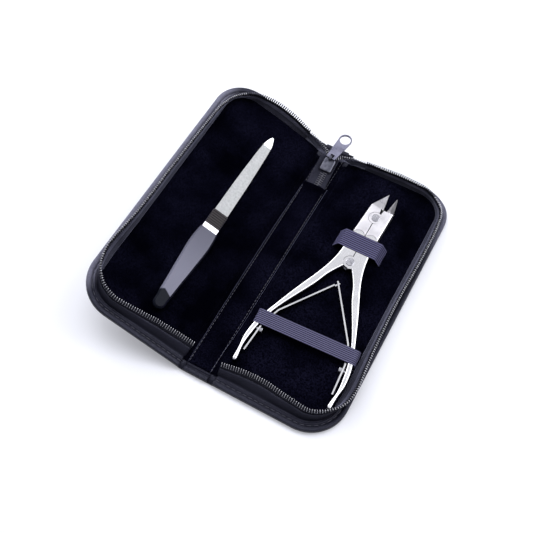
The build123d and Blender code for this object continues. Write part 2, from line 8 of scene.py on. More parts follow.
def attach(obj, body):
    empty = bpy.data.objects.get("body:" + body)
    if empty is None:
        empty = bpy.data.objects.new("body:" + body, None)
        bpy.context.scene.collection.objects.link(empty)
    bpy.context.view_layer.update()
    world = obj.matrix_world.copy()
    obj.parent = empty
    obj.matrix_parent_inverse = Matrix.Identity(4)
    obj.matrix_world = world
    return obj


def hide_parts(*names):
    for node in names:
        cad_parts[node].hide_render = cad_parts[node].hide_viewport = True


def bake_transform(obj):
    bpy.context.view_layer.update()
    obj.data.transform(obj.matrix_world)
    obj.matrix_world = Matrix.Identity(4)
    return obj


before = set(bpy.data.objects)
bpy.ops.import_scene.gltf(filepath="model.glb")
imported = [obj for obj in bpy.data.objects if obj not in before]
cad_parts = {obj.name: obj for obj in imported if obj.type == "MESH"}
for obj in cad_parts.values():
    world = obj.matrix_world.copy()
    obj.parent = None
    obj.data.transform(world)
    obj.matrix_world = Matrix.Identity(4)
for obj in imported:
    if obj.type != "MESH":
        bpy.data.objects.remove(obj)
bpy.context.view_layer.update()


# ---------------------------------------------------------------- Camera, lamps and table
# The open case lies on a plain white table under large soft lamps, seen from above one corner.
# The table looks white to the camera and in polished metal, and keeps the case's soft shadow.
def add_node(tree, kind, values=None, **settings):
    """A node with its settings, and each socket given a number or a link from another socket."""
    node = tree.nodes.new(kind)
    for name, value in settings.items():
        setattr(node, name, value)
    for socket, value in (values or {}).items():
        if isinstance(value, bpy.types.NodeSocket):
            tree.links.new(value, node.inputs[socket])
        else:
            node.inputs[socket].default_value = value
    return node


def calculated(tree, operation, *numbers, clamp=False):
    """The result of a Math node."""
    return add_node(tree, "ShaderNodeMath", dict(enumerate(numbers)), operation=operation, use_clamp=clamp).outputs[0]


def axes(tree, vector):
    """The X, Y and Z of a vector."""
    return add_node(tree, "ShaderNodeSeparateXYZ", {0: vector}).outputs


def background_seen(tree, path):
    """1 where a ray shows the background: straight to the camera, mirrored or through glass."""
    mirrored = calculated(tree, "MAXIMUM", path.outputs["Is Camera Ray"], path.outputs["Is Glossy Ray"])
    return calculated(tree, "MAXIMUM", mirrored, path.outputs["Is Transmission Ray"])


camera_data = bpy.data.cameras.new("camera")
camera_data.sensor_width, camera_data.lens, camera_data.clip_start = 36.0, 54.03, 0.01
camera = bpy.data.objects.new("camera", camera_data)
camera_place = (0.10274, -0.19218, 0.37257)
camera_axes = Matrix(((0.875296, 0.483588, 0.0), (-0.420935, 0.761894, 0.492272), (0.238057, -0.430883, 0.870442)))
camera.matrix_world = Matrix.Translation(camera_place) @ camera_axes.transposed().to_4x4()
bpy.context.scene.collection.objects.link(camera)
bpy.context.scene.camera = camera
bpy.context.scene.view_settings.view_transform = "Standard"

world = bpy.data.worlds.new("studio")
world.use_nodes = True
bpy.context.scene.world = world
world_tree = world.node_tree
world_level, background = 0.5, world_tree.nodes["Background"]
world_path = add_node(world_tree, "ShaderNodeLightPath")
height = axes(world_tree, add_node(world_tree, "ShaderNodeTexCoord").outputs["Generated"])["Z"]
ceiling = add_node(world_tree, "ShaderNodeMapRange",
                   {"Value": height, "From Min": 0.1, "From Max": 0.85, "To Min": 0.22, "To Max": 1.06},
                   interpolation_type="SMOOTHSTEP")
reflected = add_node(world_tree, "ShaderNodeMix", {0: world_path.outputs["Is Camera Ray"],
                                                   2: ceiling.outputs[0], 3: 1.0})
world_strength = add_node(world_tree, "ShaderNodeMix", {0: background_seen(world_tree, world_path),
                                                        2: world_level, 3: reflected.outputs[0]})
background.inputs["Color"].default_value = (0.97, 0.975, 1.0, 1)
world_tree.links.new(world_strength.outputs[0], background.inputs["Strength"])

for lamp_name, place, size, power, lights, mirrored in (
        ("ceiling_lamp", (-0.10, 0.25, 1.00), 0.70, 6.0, True, False),
        ("window_lamp", (-0.62, 0.40, 0.62), 0.60, 5.0, True, True),
        ("side_lamp", (0.46, 0.43, 0.77), 0.50, 3.6, True, False),
        ("reflector", (0.50, 0.43, 0.73), 0.80, 8.0, False, True)):
    lamp_data = bpy.data.lights.new(lamp_name, "AREA")
    lamp_data.size, lamp_data.energy = size, power
    lamp = bpy.data.objects.new(lamp_name, lamp_data)
    lamp.visible_diffuse, lamp.visible_glossy = lights, mirrored
    aim = Vector((0, 0, 0)) - Vector(place)
    lamp.matrix_world = Matrix.Translation(place) @ aim.to_track_quat("-Z", "Y").to_matrix().to_4x4()
    bpy.context.scene.collection.objects.link(lamp)

table_top, table_reach = -0.0002, 2
table_mesh = bpy.data.meshes.new("table")
table_mesh.from_pydata([(x * table_reach, y * table_reach, table_top) for x, y in ((-1, -1), (1, -1), (1, 1), (-1, 1))],
                       [], [(0, 1, 2, 3)])
table = bpy.data.objects.new("table", table_mesh)
bpy.context.scene.collection.objects.link(table)
table_material = bpy.data.materials.new("white table")
table_material.use_nodes = True
table_tree = table_material.node_tree
table_shader = table_tree.nodes["Principled BSDF"]
table_shader.inputs["Base Color"].default_value = (0.60, 0.61, 0.67, 1)
table_shader.inputs["Roughness"].default_value = 0.8
table_shader.inputs["Emission Color"].default_value = (0.97, 0.97, 1.0, 1)
table_seen = background_seen(table_tree, add_node(table_tree, "ShaderNodeLightPath"))
table_tree.links.new(calculated(table_tree, "MULTIPLY", table_seen, 0.20), table_shader.inputs["Emission Strength"])
table_mesh.materials.append(table_material)


# ---------------------------------------------------------------- Outer leather
# Two stiff covers and a soft spine of black fine-grained calf leather, 1.2 mm thick, with turned edges.
# The leather runs in one piece over both folds, so a strip is shaped over each fold.
case_length, cover_width, half_spine, leather = 160.0, 66.4, 8.0, 1.2
corner_radius = 20.0
fold_height, raised = leather / 2, math.radians(23.1)
HALVES = {"left": "left_cover", "right": "right_cover"}
MM = 0.001  # sizes of pieces are in millimetres, meshes in metres


def smoothstep(t):
    t = min(max(t, 0.0), 1.0)
    return t * t * (3 - 2 * t)


def placed(half, u, v, h, turn=1.0):
    """A point u from the fold line, v along it and h above the cover's underside, in the row frame."""
    if half == "right":
        return Vector((half_spine + u, v, h))
    c, s = math.cos(raised * turn), math.sin(raised * turn)
    return Vector((-half_spine - u * c + (h - fold_height) * s, v, fold_height + u * s + (h - fold_height) * c))


def drawn_in(half, u, v):
    """The right cover's far edge is drawn in a little by its wall."""
    if half == "left":
        return v
    return v - 1.1 * smoothstep((v - 66) / 10) * smoothstep((66 - u) / 14)


def rim(setback, start):
    """Outline of a cover, setback inside its edge, from the near fold round to the far one."""
    straight, bend = 12, 14
    radius = corner_radius - setback
    side, end = cover_width - setback, case_length / 2 - setback
    quarter = [math.pi / 2 * i / bend for i in range(bend + 1)]
    points = [(start + (side - radius - start) * i / straight, -end) for i in range(straight)]
    points += [(side - radius + radius * math.sin(turn), -end + radius - radius * math.cos(turn)) for turn in quarter]
    points += [(side, (end - radius) * (i / straight * 2 - 1)) for i in range(1, straight)]
    points += [(side - radius + radius * math.cos(turn), end - radius + radius * math.sin(turn)) for turn in quarter]
    points += [(start + (side - radius - start) * (1 - i / straight), end) for i in range(1, straight + 1)]
    return points


def join_case(piece, body, nodes):
    """The piece rides on its body and stands for its CAD nodes."""
    bpy.context.scene.collection.objects.link(piece)
    if nodes:
        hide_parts(*nodes)
    if body:
        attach(piece, body)
    return piece


def skin_piece(name, vertices, faces, uvs, material, body, nodes):
    """A smooth piece from points in millimetres, with a surface map."""
    mesh = bpy.data.meshes.new(name)
    mesh.from_pydata([v * MM for v in vertices], [], faces)
    layer = mesh.uv_layers.new(name="Surface")
    for loop, uv in zip(layer.data, uvs):
        loop.uv = uv
    mesh.polygons.foreach_set("use_smooth", [True] * len(mesh.polygons))
    mesh.materials.append(material)
    return join_case(bpy.data.objects.new(name, mesh), body, nodes)


def rows_piece(name, rows, material, body, nodes, wrap=True, across=None):
    """A skin over rows of points; wrap joins each row's ends and closes the first and last row.
    across gives the surface map's second coordinate at each point of a row, else it's in millimetres."""
    count = len(rows[0])
    vertices = [p for row in rows for p in row]
    along = [0.0]
    for a, b in zip(rows, rows[1:]):
        along.append(along[-1] + (b[count // 2] - a[count // 2]).length)
    if across is None:
        across, middle = [0.0], rows[len(rows) // 2]
        for k in range(count):
            across.append(across[-1] + (middle[(k + 1) % count] - middle[k]).length)
    faces, uvs = [], []
    for i in range(len(rows) - 1):
        for k in range(count if wrap else count - 1):
            n = (k + 1) % count
            faces.append((i * count + k, i * count + n, (i + 1) * count + n, (i + 1) * count + k))
            uvs += [(along[i], across[k]), (along[i], across[k + 1]),
                    (along[i + 1], across[k + 1]), (along[i + 1], across[k])]
    if wrap:
        last = (len(rows) - 1) * count
        faces += [tuple(reversed(range(count))), tuple(range(last, last + count))]
        uvs += [(0.0, across[k]) for k in reversed(range(count))] + [(along[-1], across[k]) for k in range(count)]
    piece = skin_piece(name, vertices, faces, uvs, material, body, nodes)
    probe = bmesh.new()
    probe.from_mesh(piece.data)
    bmesh.ops.recalc_face_normals(probe, faces=probe.faces)
    probe.to_mesh(piece.data)
    probe.free()
    return piece


def new_group(name, inputs, outputs):
    """An empty shader node group with named sockets."""
    group = bpy.data.node_groups.new(name, "ShaderNodeTree")
    for socket, kind, value in inputs:
        made = group.interface.new_socket(socket, in_out="INPUT", socket_type=kind)
        if value is not None:
            made.default_value = value
    for socket, kind in outputs:
        group.interface.new_socket(socket, in_out="OUTPUT", socket_type=kind)
    return group, group.nodes.new("NodeGroupInput"), group.nodes.new("NodeGroupOutput")


def mask_between(tree, value, start, end, smooth=False):
    """0 where the value is at the start and 1 where it is at the end."""
    return add_node(tree, "ShaderNodeMapRange", {"Value": value, "From Min": start, "From Max": end},
                    interpolation_type="SMOOTHSTEP" if smooth else "LINEAR").outputs[0]


def mottle_group():
    """Soft cloudy variation, as a mask from 0 to 1."""
    group, given, result = new_group("mottling", [("Vector", "NodeSocketVector", None),
                                                  ("Scale", "NodeSocketFloat", 100.0),
                                                  ("Contrast", "NodeSocketFloat", 1.0)],
                                     [("Mask", "NodeSocketFloat")])
    large = add_node(group, "ShaderNodeTexNoise", {"Vector": given.outputs["Vector"],
                                                   "Scale": given.outputs["Scale"], "Detail": 4.0})
    centred = calculated(group, "SUBTRACT", large.outputs[0], 0.5)
    spread = calculated(group, "MULTIPLY", given.outputs["Contrast"], 2.2)
    mask = calculated(group, "MULTIPLY_ADD", centred, spread, 0.5, clamp=True)
    group.links.new(mask, result.inputs["Mask"])
    return group


def grain_group():
    """Pebbled leather grain: rounded cells with creases between them."""
    group, given, result = new_group("leather grain", [("Vector", "NodeSocketVector", None),
                                                       ("Scale", "NodeSocketFloat", 1400.0)],
                                     [("Height", "NodeSocketFloat")])
    warp = add_node(group, "ShaderNodeTexNoise", {"Vector": given.outputs["Vector"], "Scale": 300.0, "Detail": 2.0})
    shift = add_node(group, "ShaderNodeVectorMath", {0: warp.outputs["Color"], "Scale": 0.0012}, operation="SCALE")
    moved = add_node(group, "ShaderNodeVectorMath", {0: given.outputs["Vector"], 1: shift.outputs[0]})
    cells = add_node(group, "ShaderNodeTexVoronoi", {"Vector": moved.outputs[0], "Scale": given.outputs["Scale"]},
                     feature="SMOOTH_F1")
    edges = add_node(group, "ShaderNodeTexVoronoi", {"Vector": moved.outputs[0], "Scale": given.outputs["Scale"]},
                     feature="DISTANCE_TO_EDGE")
    crease = mask_between(group, edges.outputs["Distance"], 0.0, 0.18)
    height = calculated(group, "MULTIPLY_ADD", cells.outputs["Distance"], -0.7, crease)
    group.links.new(height, result.inputs["Height"])
    return group


mottling, leather_grain = mottle_group(), grain_group()


def use_group(tree, group, values):
    """A shader group placed in a material, with its own values."""
    return add_node(tree, "ShaderNodeGroup", values, node_tree=group)


def mottled(tree, where, scale, contrast=1.0):
    """The mottling's mask, for one material."""
    return use_group(tree, mottling, {"Vector": where, "Scale": scale, "Contrast": contrast}).outputs["Mask"]


def new_material(name, **values):
    """A material with a Principled shader whose plain sockets are set, and its object coordinates."""
    material = bpy.data.materials.new(name)
    material.use_nodes = True
    tree = material.node_tree
    shader = tree.nodes["Principled BSDF"]
    for socket, value in values.items():
        socket = socket.replace("_", " ").title().replace("Ior", "IOR")
        shader.inputs[socket].default_value = (*value, 1) if isinstance(value, tuple) else value
    return material, tree, shader, add_node(tree, "ShaderNodeTexCoord").outputs["Object"]


def blended(tree, mask, low, high):
    """A colour between two, by a mask. The first may come from another node."""
    low = low if isinstance(low, bpy.types.NodeSocket) else (*low, 1)
    return add_node(tree, "ShaderNodeMix", {0: mask, 6: low, 7: (*high, 1)}, data_type="RGBA").outputs[2]


def ranged(tree, mask, low, high):
    """A number between two, by a mask."""
    return add_node(tree, "ShaderNodeMapRange", {"Value": mask, "To Min": low, "To Max": high}).outputs[0]


def paint(tree, shader, mask, low, high):
    """The material's colour, between two by a mask."""
    tree.links.new(blended(tree, mask, low, high), shader.inputs["Base Color"])


def stain(tree, shader, mask, colour):
    """The material's colour goes over to another where the mask is 1."""
    paint(tree, shader, mask, shader.inputs["Base Color"].links[0].from_socket, colour)


def raised_by(tree, shader, height, distance, strength=1.0):
    """Fine relief, distance in metres."""
    bump = add_node(tree, "ShaderNodeBump", {"Height": height, "Distance": distance, "Strength": strength})
    tree.links.new(bump.outputs[0], shader.inputs["Normal"])


# plain black in the middle, with a painted sheen in patches along the left edge and at the right cover's far corner
leather_material, tree, shader, where = new_material("black calf leather", specular_ior_level=0.27,
                                                     specular_tint=(0.72, 0.74, 1.0))
clouds, place = mottled(tree, where, 60.0, 1.2), axes(tree, where)
left_sheen_edge, right_sheen_edge, far_sheen_end = [mask_between(tree, place[axis], start * MM, end * MM, smooth=True)
                                   for axis, start, end in (("X", -60, -68), ("X", 58, 68), ("Y", 34, 60))]
painted_sheen = calculated(tree, "MULTIPLY_ADD", calculated(tree, "MULTIPLY", right_sheen_edge, far_sheen_end), 0.55, left_sheen_edge)
patches = ranged(tree, mottled(tree, where, 900.0), 0.65, 1.0)
paint(tree, shader, clouds, (0.002, 0.002, 0.005), (0.006, 0.006, 0.012))
# those edges are painted a lighter lavender grey, as sheen
stain(tree, shader, calculated(tree, "MULTIPLY", painted_sheen, patches, clamp=True), (0.160, 0.160, 0.220))
tree.links.new(ranged(tree, clouds, 0.30, 0.42), shader.inputs["Roughness"])
grain = use_group(tree, leather_grain, {"Vector": where, "Scale": 1500.0})
raised_by(tree, shader, grain.outputs["Height"], 0.00006, 0.8)

# the turned edge: distance inside the cover's edge and height above its underside
edge_profile = [(1.4, 0.0), (0.55, 0.0), (0.16, 0.14), (0.0, 0.45), (0.0, 0.8), (0.16, 1.08), (0.55, 1.2), (1.4, 1.2)]
strip_reach = 2.0
for half, body in HALVES.items():
    rows = [[placed(half, u, drawn_in(half, u, v), h) for u, v in rim(setback, strip_reach)]
            for setback, h in edge_profile]
    rows_piece(f"{half}_cover_outside", rows, leather_material, body, [f"{half}_cover_leather"])


def fold_strip(name, half, reach_in, reach_out, height_of, thickness, ends, material):
    """A strip shaped over a fold. height_of gives its top across the fold, ends its near and far reach."""
    steps, lines, rows = 14, 40, []
    for j in range(lines + 1):
        v = -ends[0] + (ends[0] + ends[1]) * j / lines
        top, bottom = [], []
        for i in range(steps + 1):
            across = -reach_in + (reach_in + reach_out) * i / steps
            turn = smoothstep((across + reach_in) / (reach_in + reach_out))
            top.append(placed(half, across, v, height_of(across), turn))
            bottom.append(placed(half, across, v, height_of(across) - thickness, turn))
        rows.append(top + bottom[::-1])
    strip = rows_piece(name, rows, material, None, [])
    if half == "left":
        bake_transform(strip)
    else:
        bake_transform(strip)


for half in HALVES:
    fold_strip(f"{half}_fold_leather", half, strip_reach, strip_reach, lambda across: leather, leather,
               (case_length / 2, case_length / 2), leather_material)
edge, rows = half_spine - strip_reach, []
line = [-edge + 2 * edge * i / 10 for i in range(11)]
for j in range(41):
    v = (j / 40 - 0.5) * case_length
    rows.append([Vector((x, v, leather)) for x in line] + [Vector((x, v, 0.0)) for x in reversed(line)])
rows_piece("spine_outside", rows, leather_material, "spine", ["spine_leather"])


# ---------------------------------------------------------------- Leather walls
# A soft leather wall stands round three sides of each cover and carries the zip on its top.
# It is turned out at the foot, sewn flat on the rim with waxed thread, and leans in at the near end.
wall_foot, wall_rise, fold_clear, wing_start = 4.6, 7.25, 1.9, 12.0
foot_side, foot_end, foot_corner = cover_width - wall_foot, case_length / 2 - wall_foot, corner_radius - wall_foot
near_run, corner_run = foot_side - foot_corner - fold_clear, foot_corner * math.pi / 2
side_run, far_run = 2 * (foot_end - foot_corner), foot_side - foot_corner - wing_start
wall_run = near_run + 2 * corner_run + side_run + far_run
# how far the top of each wall leans in over its foot, at distances along the wall from the near fold
lean_in = {
    "left": [(0, 8.9), (21, 7.6), (31, 6.1), (43, 4.5), (50.5, 4.3), (56.6, 2.8), (62.6, 0.9), (68.7, -2.0), (75, -3.9),
             (80, -4.3), (90, -3.5), (100, -2.6), (112.7, -2.2), (131.7, -2.2), (150, -1.9), (161.7, -1.7),
             (172, -1.4), (181.7, -0.9), (188.7, 0.7), (194.7, 1.85), (200.8, 2.0), (206.8, 0.9), (212.9, -1.0),
             (219.3, -2.9), (225, -3.6), (232.3, -3.5), (238.4, -2.8), (247.3, -1.0)],
    "right": [(0, 5.5), (11.8, 7.9), (23, 8.3), (34.6, 6.6), (43, 5.5), (50.5, 4.3), (56.6, 2.8), (62.6, 0.6),
              (66, -1.6), (70, -4.0), (75, -5.3), (80, -5.6), (90, -4.6), (101.3, -3.7), (110, -3.3), (122.4, -2.8),
              (135.2, -2.7), (150, -3.1), (158.2, -3.3), (171.5, -3.3), (180, -3.0), (188.7, -2.1), (194.7, -1.0),
              (200.8, 0.3), (206.8, 0.3), (212.9, -0.4), (219, -0.8), (226.6, -1.1), (238.8, -0.4), (247.3, 0.3)],
}


def smooth_value(keys, a):
    """A smooth curve through the keys."""
    i = max(k for k in range(len(keys) - 1) if keys[k][0] <= a or k == 0)
    (a0, b0), (a1, b1) = keys[i], keys[i + 1]
    slope = [(keys[min(k + 1, len(keys) - 1)][1] - keys[max(k - 1, 0)][1])
             / (keys[min(k + 1, len(keys) - 1)][0] - keys[max(k - 1, 0)][0]) for k in (i, i + 1)]
    t, run = min(max((a - a0) / (a1 - a0), 0), 1), a1 - a0
    return ((2 * t ** 3 - 3 * t ** 2 + 1) * b0 + (t ** 3 - 2 * t ** 2 + t) * run * slope[0]
            + (3 * t ** 2 - 2 * t ** 3) * b1 + (t ** 3 - t ** 2) * run * slope[1])


def foot(a):
    """Foot of the wall at a distance a along it from the near fold, and the direction inwards."""
    centre_u, centre_v = foot_side - foot_corner, foot_end - foot_corner
    if a <= near_run:
        return fold_clear + a, -foot_end, 0.0, 1.0
    a -= near_run
    if a <= corner_run:
        c, s = math.sin(a / foot_corner), -math.cos(a / foot_corner)
        return centre_u + foot_corner * c, -centre_v + foot_corner * s, -c, -s
    a -= corner_run
    if a <= side_run:
        return foot_side, -centre_v + a, -1.0, 0.0
    a -= side_run
    if a <= corner_run:
        c, s = math.cos(a / foot_corner), math.sin(a / foot_corner)
        return centre_u + foot_corner * c, centre_v + foot_corner * s, -c, -s
    return centre_u - (a - corner_run), foot_end, 0.0, -1.0


def wall_point(half, a, rise, depth, lift=0.0):
    """A point of the wall: rise from 0 at its foot to 1 at the top of the teeth, depth inside its outer face."""
    u, v, nu, nv = foot(a)
    inward = smooth_value(lean_in[half], a)
    slope = math.hypot(inward, wall_rise)
    run = inward * rise + depth * wall_rise / slope
    drop = -depth * inward / slope
    return placed(half, u + nu * run, v + nv * run, leather + wall_rise * rise + drop + lift)


def wall_stations(step):
    """Even distances along the whole wall, about a step apart."""
    count = round(wall_run / step)
    return [wall_run * i / count for i in range(count + 1)]


# the sewn foot, then the standing wall: distance inside the cover's edge and height; share of rise and depth
rim_profile = [(0.55, 1.22), (0.10, 1.36), (0.00, 1.80), (0.03, 2.34), (0.20, 2.55), (0.60, 2.62), (2.10, 2.60),
               (2.70, 2.15), (2.95, 1.78), (3.20, 1.95), (3.50, 2.30), (3.95, 2.42), (4.35, 2.20), (4.62, 1.95)]
wall_profile = [(0.12, 0.06), (0.20, -0.12), (0.32, -0.24), (0.44, -0.20), (0.52, -0.06), (0.57, 0.10), (0.59, 0.30),
                (0.60, 0.5), (0.60, 0.8), (0.58, 1.0), (0.4, 1.0), (0.2, 1.0), (0.02, 1.0)]
for half, body in HALVES.items():
    rows = []
    for a in wall_stations(1.1):
        u, v, nu, nv = foot(a)
        row = []
        for k, (inside, h) in enumerate(rim_profile):
            ripple = 0.10 * noise.noise(Vector((a * 0.32, k * 0.5, 3.0 if half == "left" else 8.0)))
            pucker = 0.05 * math.sin(a * 2 * math.pi / 3.1) * (1 if 5 < k < 11 else 0)
            out = wall_foot - inside
            row.append(placed(half, u - nu * out, drawn_in(half, u, v - nv * out),
                              h + (ripple + pucker if 3 < k else 0)))
        for k, (rise, depth) in enumerate(wall_profile):
            ripple = 0.22 * noise.noise(Vector((a * 0.11, rise * 2.5, 21.0 if half == "left" else 34.0)))
            row.append(wall_point(half, a, rise, depth - (ripple if k < 6 else 0)))
        rows.append(row)
    rows_piece(f"{half}_leather_wall", rows, leather_material, body, [f"{half}_gusset"])
trim_reach, trim_inside = 6.9, (4.6, 1.22)
for end in (-1, 1):
    rows = []
    for i in range(15):
        x = -trim_reach + 2 * trim_reach * i / 14
        rows.append([Vector((x, end * (case_length / 2 - inside), h)) for inside, h in rim_profile + [trim_inside]])
    rows_piece("near_spine_rim" if end < 0 else "far_spine_rim", rows, leather_material, "spine",
               ["spine_end_trims"])


# ---------------------------------------------------------------- Zip tape
# Woven polyester tape inside each wall, sewn behind the leather; its foot runs in under the velvet's edge
# and its upper edge stands up, rolled over a cord, and holds the teeth.
def weave_group():
    """Crossing threads from the surface map, which is in millimetres."""
    group, given, result = new_group("weave", [("Vector", "NodeSocketVector", None),
                                               ("Thread", "NodeSocketFloat", 0.5)],
                                     [("Height", "NodeSocketFloat"), ("Thread Mask", "NodeSocketFloat")])
    split = axes(group, given.outputs["Vector"])
    turns = calculated(group, "DIVIDE", 2 * math.pi, given.outputs["Thread"])
    waves = [calculated(group, "SINE", calculated(group, "MULTIPLY", split[axis], turns)) for axis in ("X", "Y")]
    height = calculated(group, "MULTIPLY_ADD", calculated(group, "MULTIPLY", *waves), 0.5, 0.5)
    group.links.new(height, result.inputs["Height"])
    group.links.new(mask_between(group, height, 0.2, 0.8), result.inputs["Thread Mask"])
    return group


weave = weave_group()


def surface_map(tree):
    """The piece's own map, in millimetres or ribs."""
    return add_node(tree, "ShaderNodeUVMap", uv_map="Surface").outputs[0]


def cloth_material(name, dark, light, thread, depth, roughness, sheen):
    """Woven cloth: colours between and on the threads, thread spacing in millimetres, relief in metres."""
    material, tree, shader, where = new_material(name, roughness=roughness, specular_ior_level=0.25,
                                                 sheen_weight=sheen, sheen_roughness=0.45,
                                                 sheen_tint=(0.68, 0.70, 1.0), specular_tint=(0.7, 0.72, 1.0))
    threads = use_group(tree, weave, {"Vector": surface_map(tree), "Thread": thread})
    paint(tree, shader, calculated(tree, "MULTIPLY", threads.outputs["Thread Mask"], mottled(tree, where, 120.0)),
          dark, light)
    raised_by(tree, shader, threads.outputs["Height"], depth)
    return material


tape_material = cloth_material("woven zip tape", (0.008, 0.008, 0.013), (0.060, 0.060, 0.088),
                               0.60, 0.00008, 0.75, 0.5)
tape_with_painted_shade = cloth_material("zip tape with painted light and shade", (0.012, 0.012, 0.020), (0.100, 0.100, 0.145),
                             1.0, 0.00012, 0.75, 0.5)
# the tape's bands of painted light and shade, by the share of its girth: the hidden back and the ridge under the teeth
# in painted shade, the rolled edge painted lightest, a painted shadow line in the groove, and the flat foot
tape_girth = 12.0
tape_light_and_shade = ((0.0, 0.2), (0.56, 0.2), (0.60, 1.0), (0.75, 0.9), (0.775, 0.08), (0.80, 0.45), (0.95, 0.5))
tree, shader = tape_with_painted_shade.node_tree, tape_with_painted_shade.node_tree.nodes["Principled BSDF"]
share = calculated(tree, "DIVIDE", axes(tree, surface_map(tree))["Y"], tape_girth)
bands = add_node(tree, "ShaderNodeValToRGB", {"Fac": share})
for k, (at, level) in enumerate(tape_light_and_shade):
    stop = bands.color_ramp.elements[k] if k < 2 else bands.color_ramp.elements.new(at)
    stop.position, stop.color = at, (level, level, level, 1)
banded = add_node(tree, "ShaderNodeMix", {0: 1.0, 6: shader.inputs["Base Color"].links[0].from_socket,
                                          7: bands.outputs["Color"]}, data_type="RGBA", blend_type="MULTIPLY")
tree.links.new(banded.outputs[2], shader.inputs["Base Color"])
tree.links.new(ranged(tree, bands.outputs["Color"], 0.0, 0.6), shader.inputs["Sheen Weight"])
tape_profile = [(0.10, 1.04), (0.40, 1.04), (0.60, 1.02), (0.66, 0.70), (0.72, 0.44), (0.80, 0.46), (0.83, 0.75),
                (0.80, 1.04), (0.73, 1.08), (0.66, 1.30), (0.50, 1.46)]
tooth_seat, hem_reach = 0.855, 1.56


def tooth_rise(a):
    """The chain sits a little prouder of the tape along the far end."""
    return tooth_seat + 0.05 * smoothstep((a - 184) / 14)


def tape_drop(a):
    """The tape's edge gives way where the chain sits prouder."""
    return 1.4 * (tooth_rise(a) - tooth_seat)


def tape_foot(a):
    """How far the tape's foot runs in over the lining, a little more along the sides than at the ends."""
    return hem_reach + 0.3 * foot(a)[2] ** 2


for half, body in HALVES.items():
    rows = []
    for a in wall_stations(1.5):
        reach = tape_foot(a)
        more = reach - hem_reach
        hem = [(0.36, 1.5 + 0.18 * more), (0.33, 1.5 + 0.42 * more), (0.20, 1.5 + 0.8 * more),
               (0.12, reach + 0.05), (0.05, reach + 0.3)]
        rows.append([wall_point(half, a, rise - tape_drop(a) * smoothstep((rise - 0.55) / 0.2), depth)
                     for rise, depth in tape_profile + hem])
    rows_piece(f"{half}_tape", rows, tape_with_painted_shade, body, [f"{half}_zip_tape"])


# ---------------------------------------------------------------- Zip teeth
# A fine metal chain: nickel-coated teeth every 1.2 mm, clamped on the edge of the tape round both halves.
# Those along the far end are rougher and coloured darker as painted shade. A cord runs in the tape's edge beneath them.
def row_tree():
    """Sets a piece on each point, turned along and up by the points' own directions."""
    tree = bpy.data.node_groups.new("pieces in a row", "GeometryNodeTree")
    tree.is_modifier = True
    for socket, kind in (("Geometry", "NodeSocketGeometry"), ("Piece", "NodeSocketObject"),
                         ("Size", "NodeSocketFloat"), ("Unevenness", "NodeSocketFloat"),
                         ("Seed", "NodeSocketInt"), ("Finish", "NodeSocketMaterial")):
        tree.interface.new_socket(socket, in_out="INPUT", socket_type=kind)
    tree.interface.new_socket("Geometry", in_out="OUTPUT", socket_type="NodeSocketGeometry")
    given, result = tree.nodes.new("NodeGroupInput"), tree.nodes.new("NodeGroupOutput")
    piece = add_node(tree, "GeometryNodeObjectInfo", {"Object": given.outputs["Piece"]})
    directions = [add_node(tree, "GeometryNodeInputNamedAttribute", {"Name": name}, data_type="FLOAT_VECTOR")
                  for name in ("along", "up")]
    aligned = add_node(tree, "FunctionNodeAlignRotationToVector", {"Vector": directions[0].outputs["Attribute"]},
                       axis="X")
    turned = add_node(tree, "FunctionNodeAlignRotationToVector",
                      {"Rotation": aligned.outputs[0], "Vector": directions[1].outputs["Attribute"]},
                      axis="Z", pivot_axis="X")
    least, most = [calculated(tree, operation, given.outputs["Size"], given.outputs["Unevenness"])
                   for operation in ("SUBTRACT", "ADD")]
    size = add_node(tree, "FunctionNodeRandomValue", {2: least, 3: most, "Seed": given.outputs["Seed"]},
                    data_type="FLOAT")
    placed_pieces = add_node(tree, "GeometryNodeInstanceOnPoints",
                             {"Points": given.outputs["Geometry"], "Instance": piece.outputs["Geometry"],
                              "Rotation": turned.outputs[0], "Scale": size.outputs[1]})
    real = add_node(tree, "GeometryNodeRealizeInstances", {"Geometry": placed_pieces.outputs[0]})
    finish = add_node(tree, "GeometryNodeSetMaterial", {"Geometry": real.outputs[0],
                                                        "Material": given.outputs["Finish"]})
    tree.links.new(finish.outputs[0], result.inputs[0])
    return tree


pieces_in_a_row = row_tree()


def row_of(name, places, piece, material, body=None, nodes=(), size=1.0, unevenness=0.0, seed=1):
    """Copies of a small piece at the places, each a point, a direction along and a direction up."""
    mesh = bpy.data.meshes.new(name + "_points")
    mesh.from_pydata([p * MM for p, along, up in places], [], [])
    for k, label in ((1, "along"), (2, "up")):
        mesh.attributes.new(label, "FLOAT_VECTOR", "POINT").data.foreach_set(
            "vector", [c for place in places for c in place[k].normalized()])
    points = bpy.data.objects.new(name + "_points", mesh)
    bpy.context.scene.collection.objects.link(points)
    modifier = points.modifiers.new("row", "NODES")
    modifier.node_group = pieces_in_a_row
    values = {"Piece": piece, "Size": size, "Unevenness": unevenness, "Seed": seed, "Finish": material}
    for item in pieces_in_a_row.interface.items_tree:
        if item.name in values:
            modifier[item.identifier] = values[item.name]
    bpy.context.view_layer.update()
    made = bpy.data.meshes.new_from_object(points.evaluated_get(bpy.context.evaluated_depsgraph_get()))
    made.name = name
    for label in ("along", "up"):
        if label in made.attributes:
            made.attributes.remove(made.attributes[label])
    bpy.data.objects.remove(points)
    return join_case(bpy.data.objects.new(name, made), body, nodes)


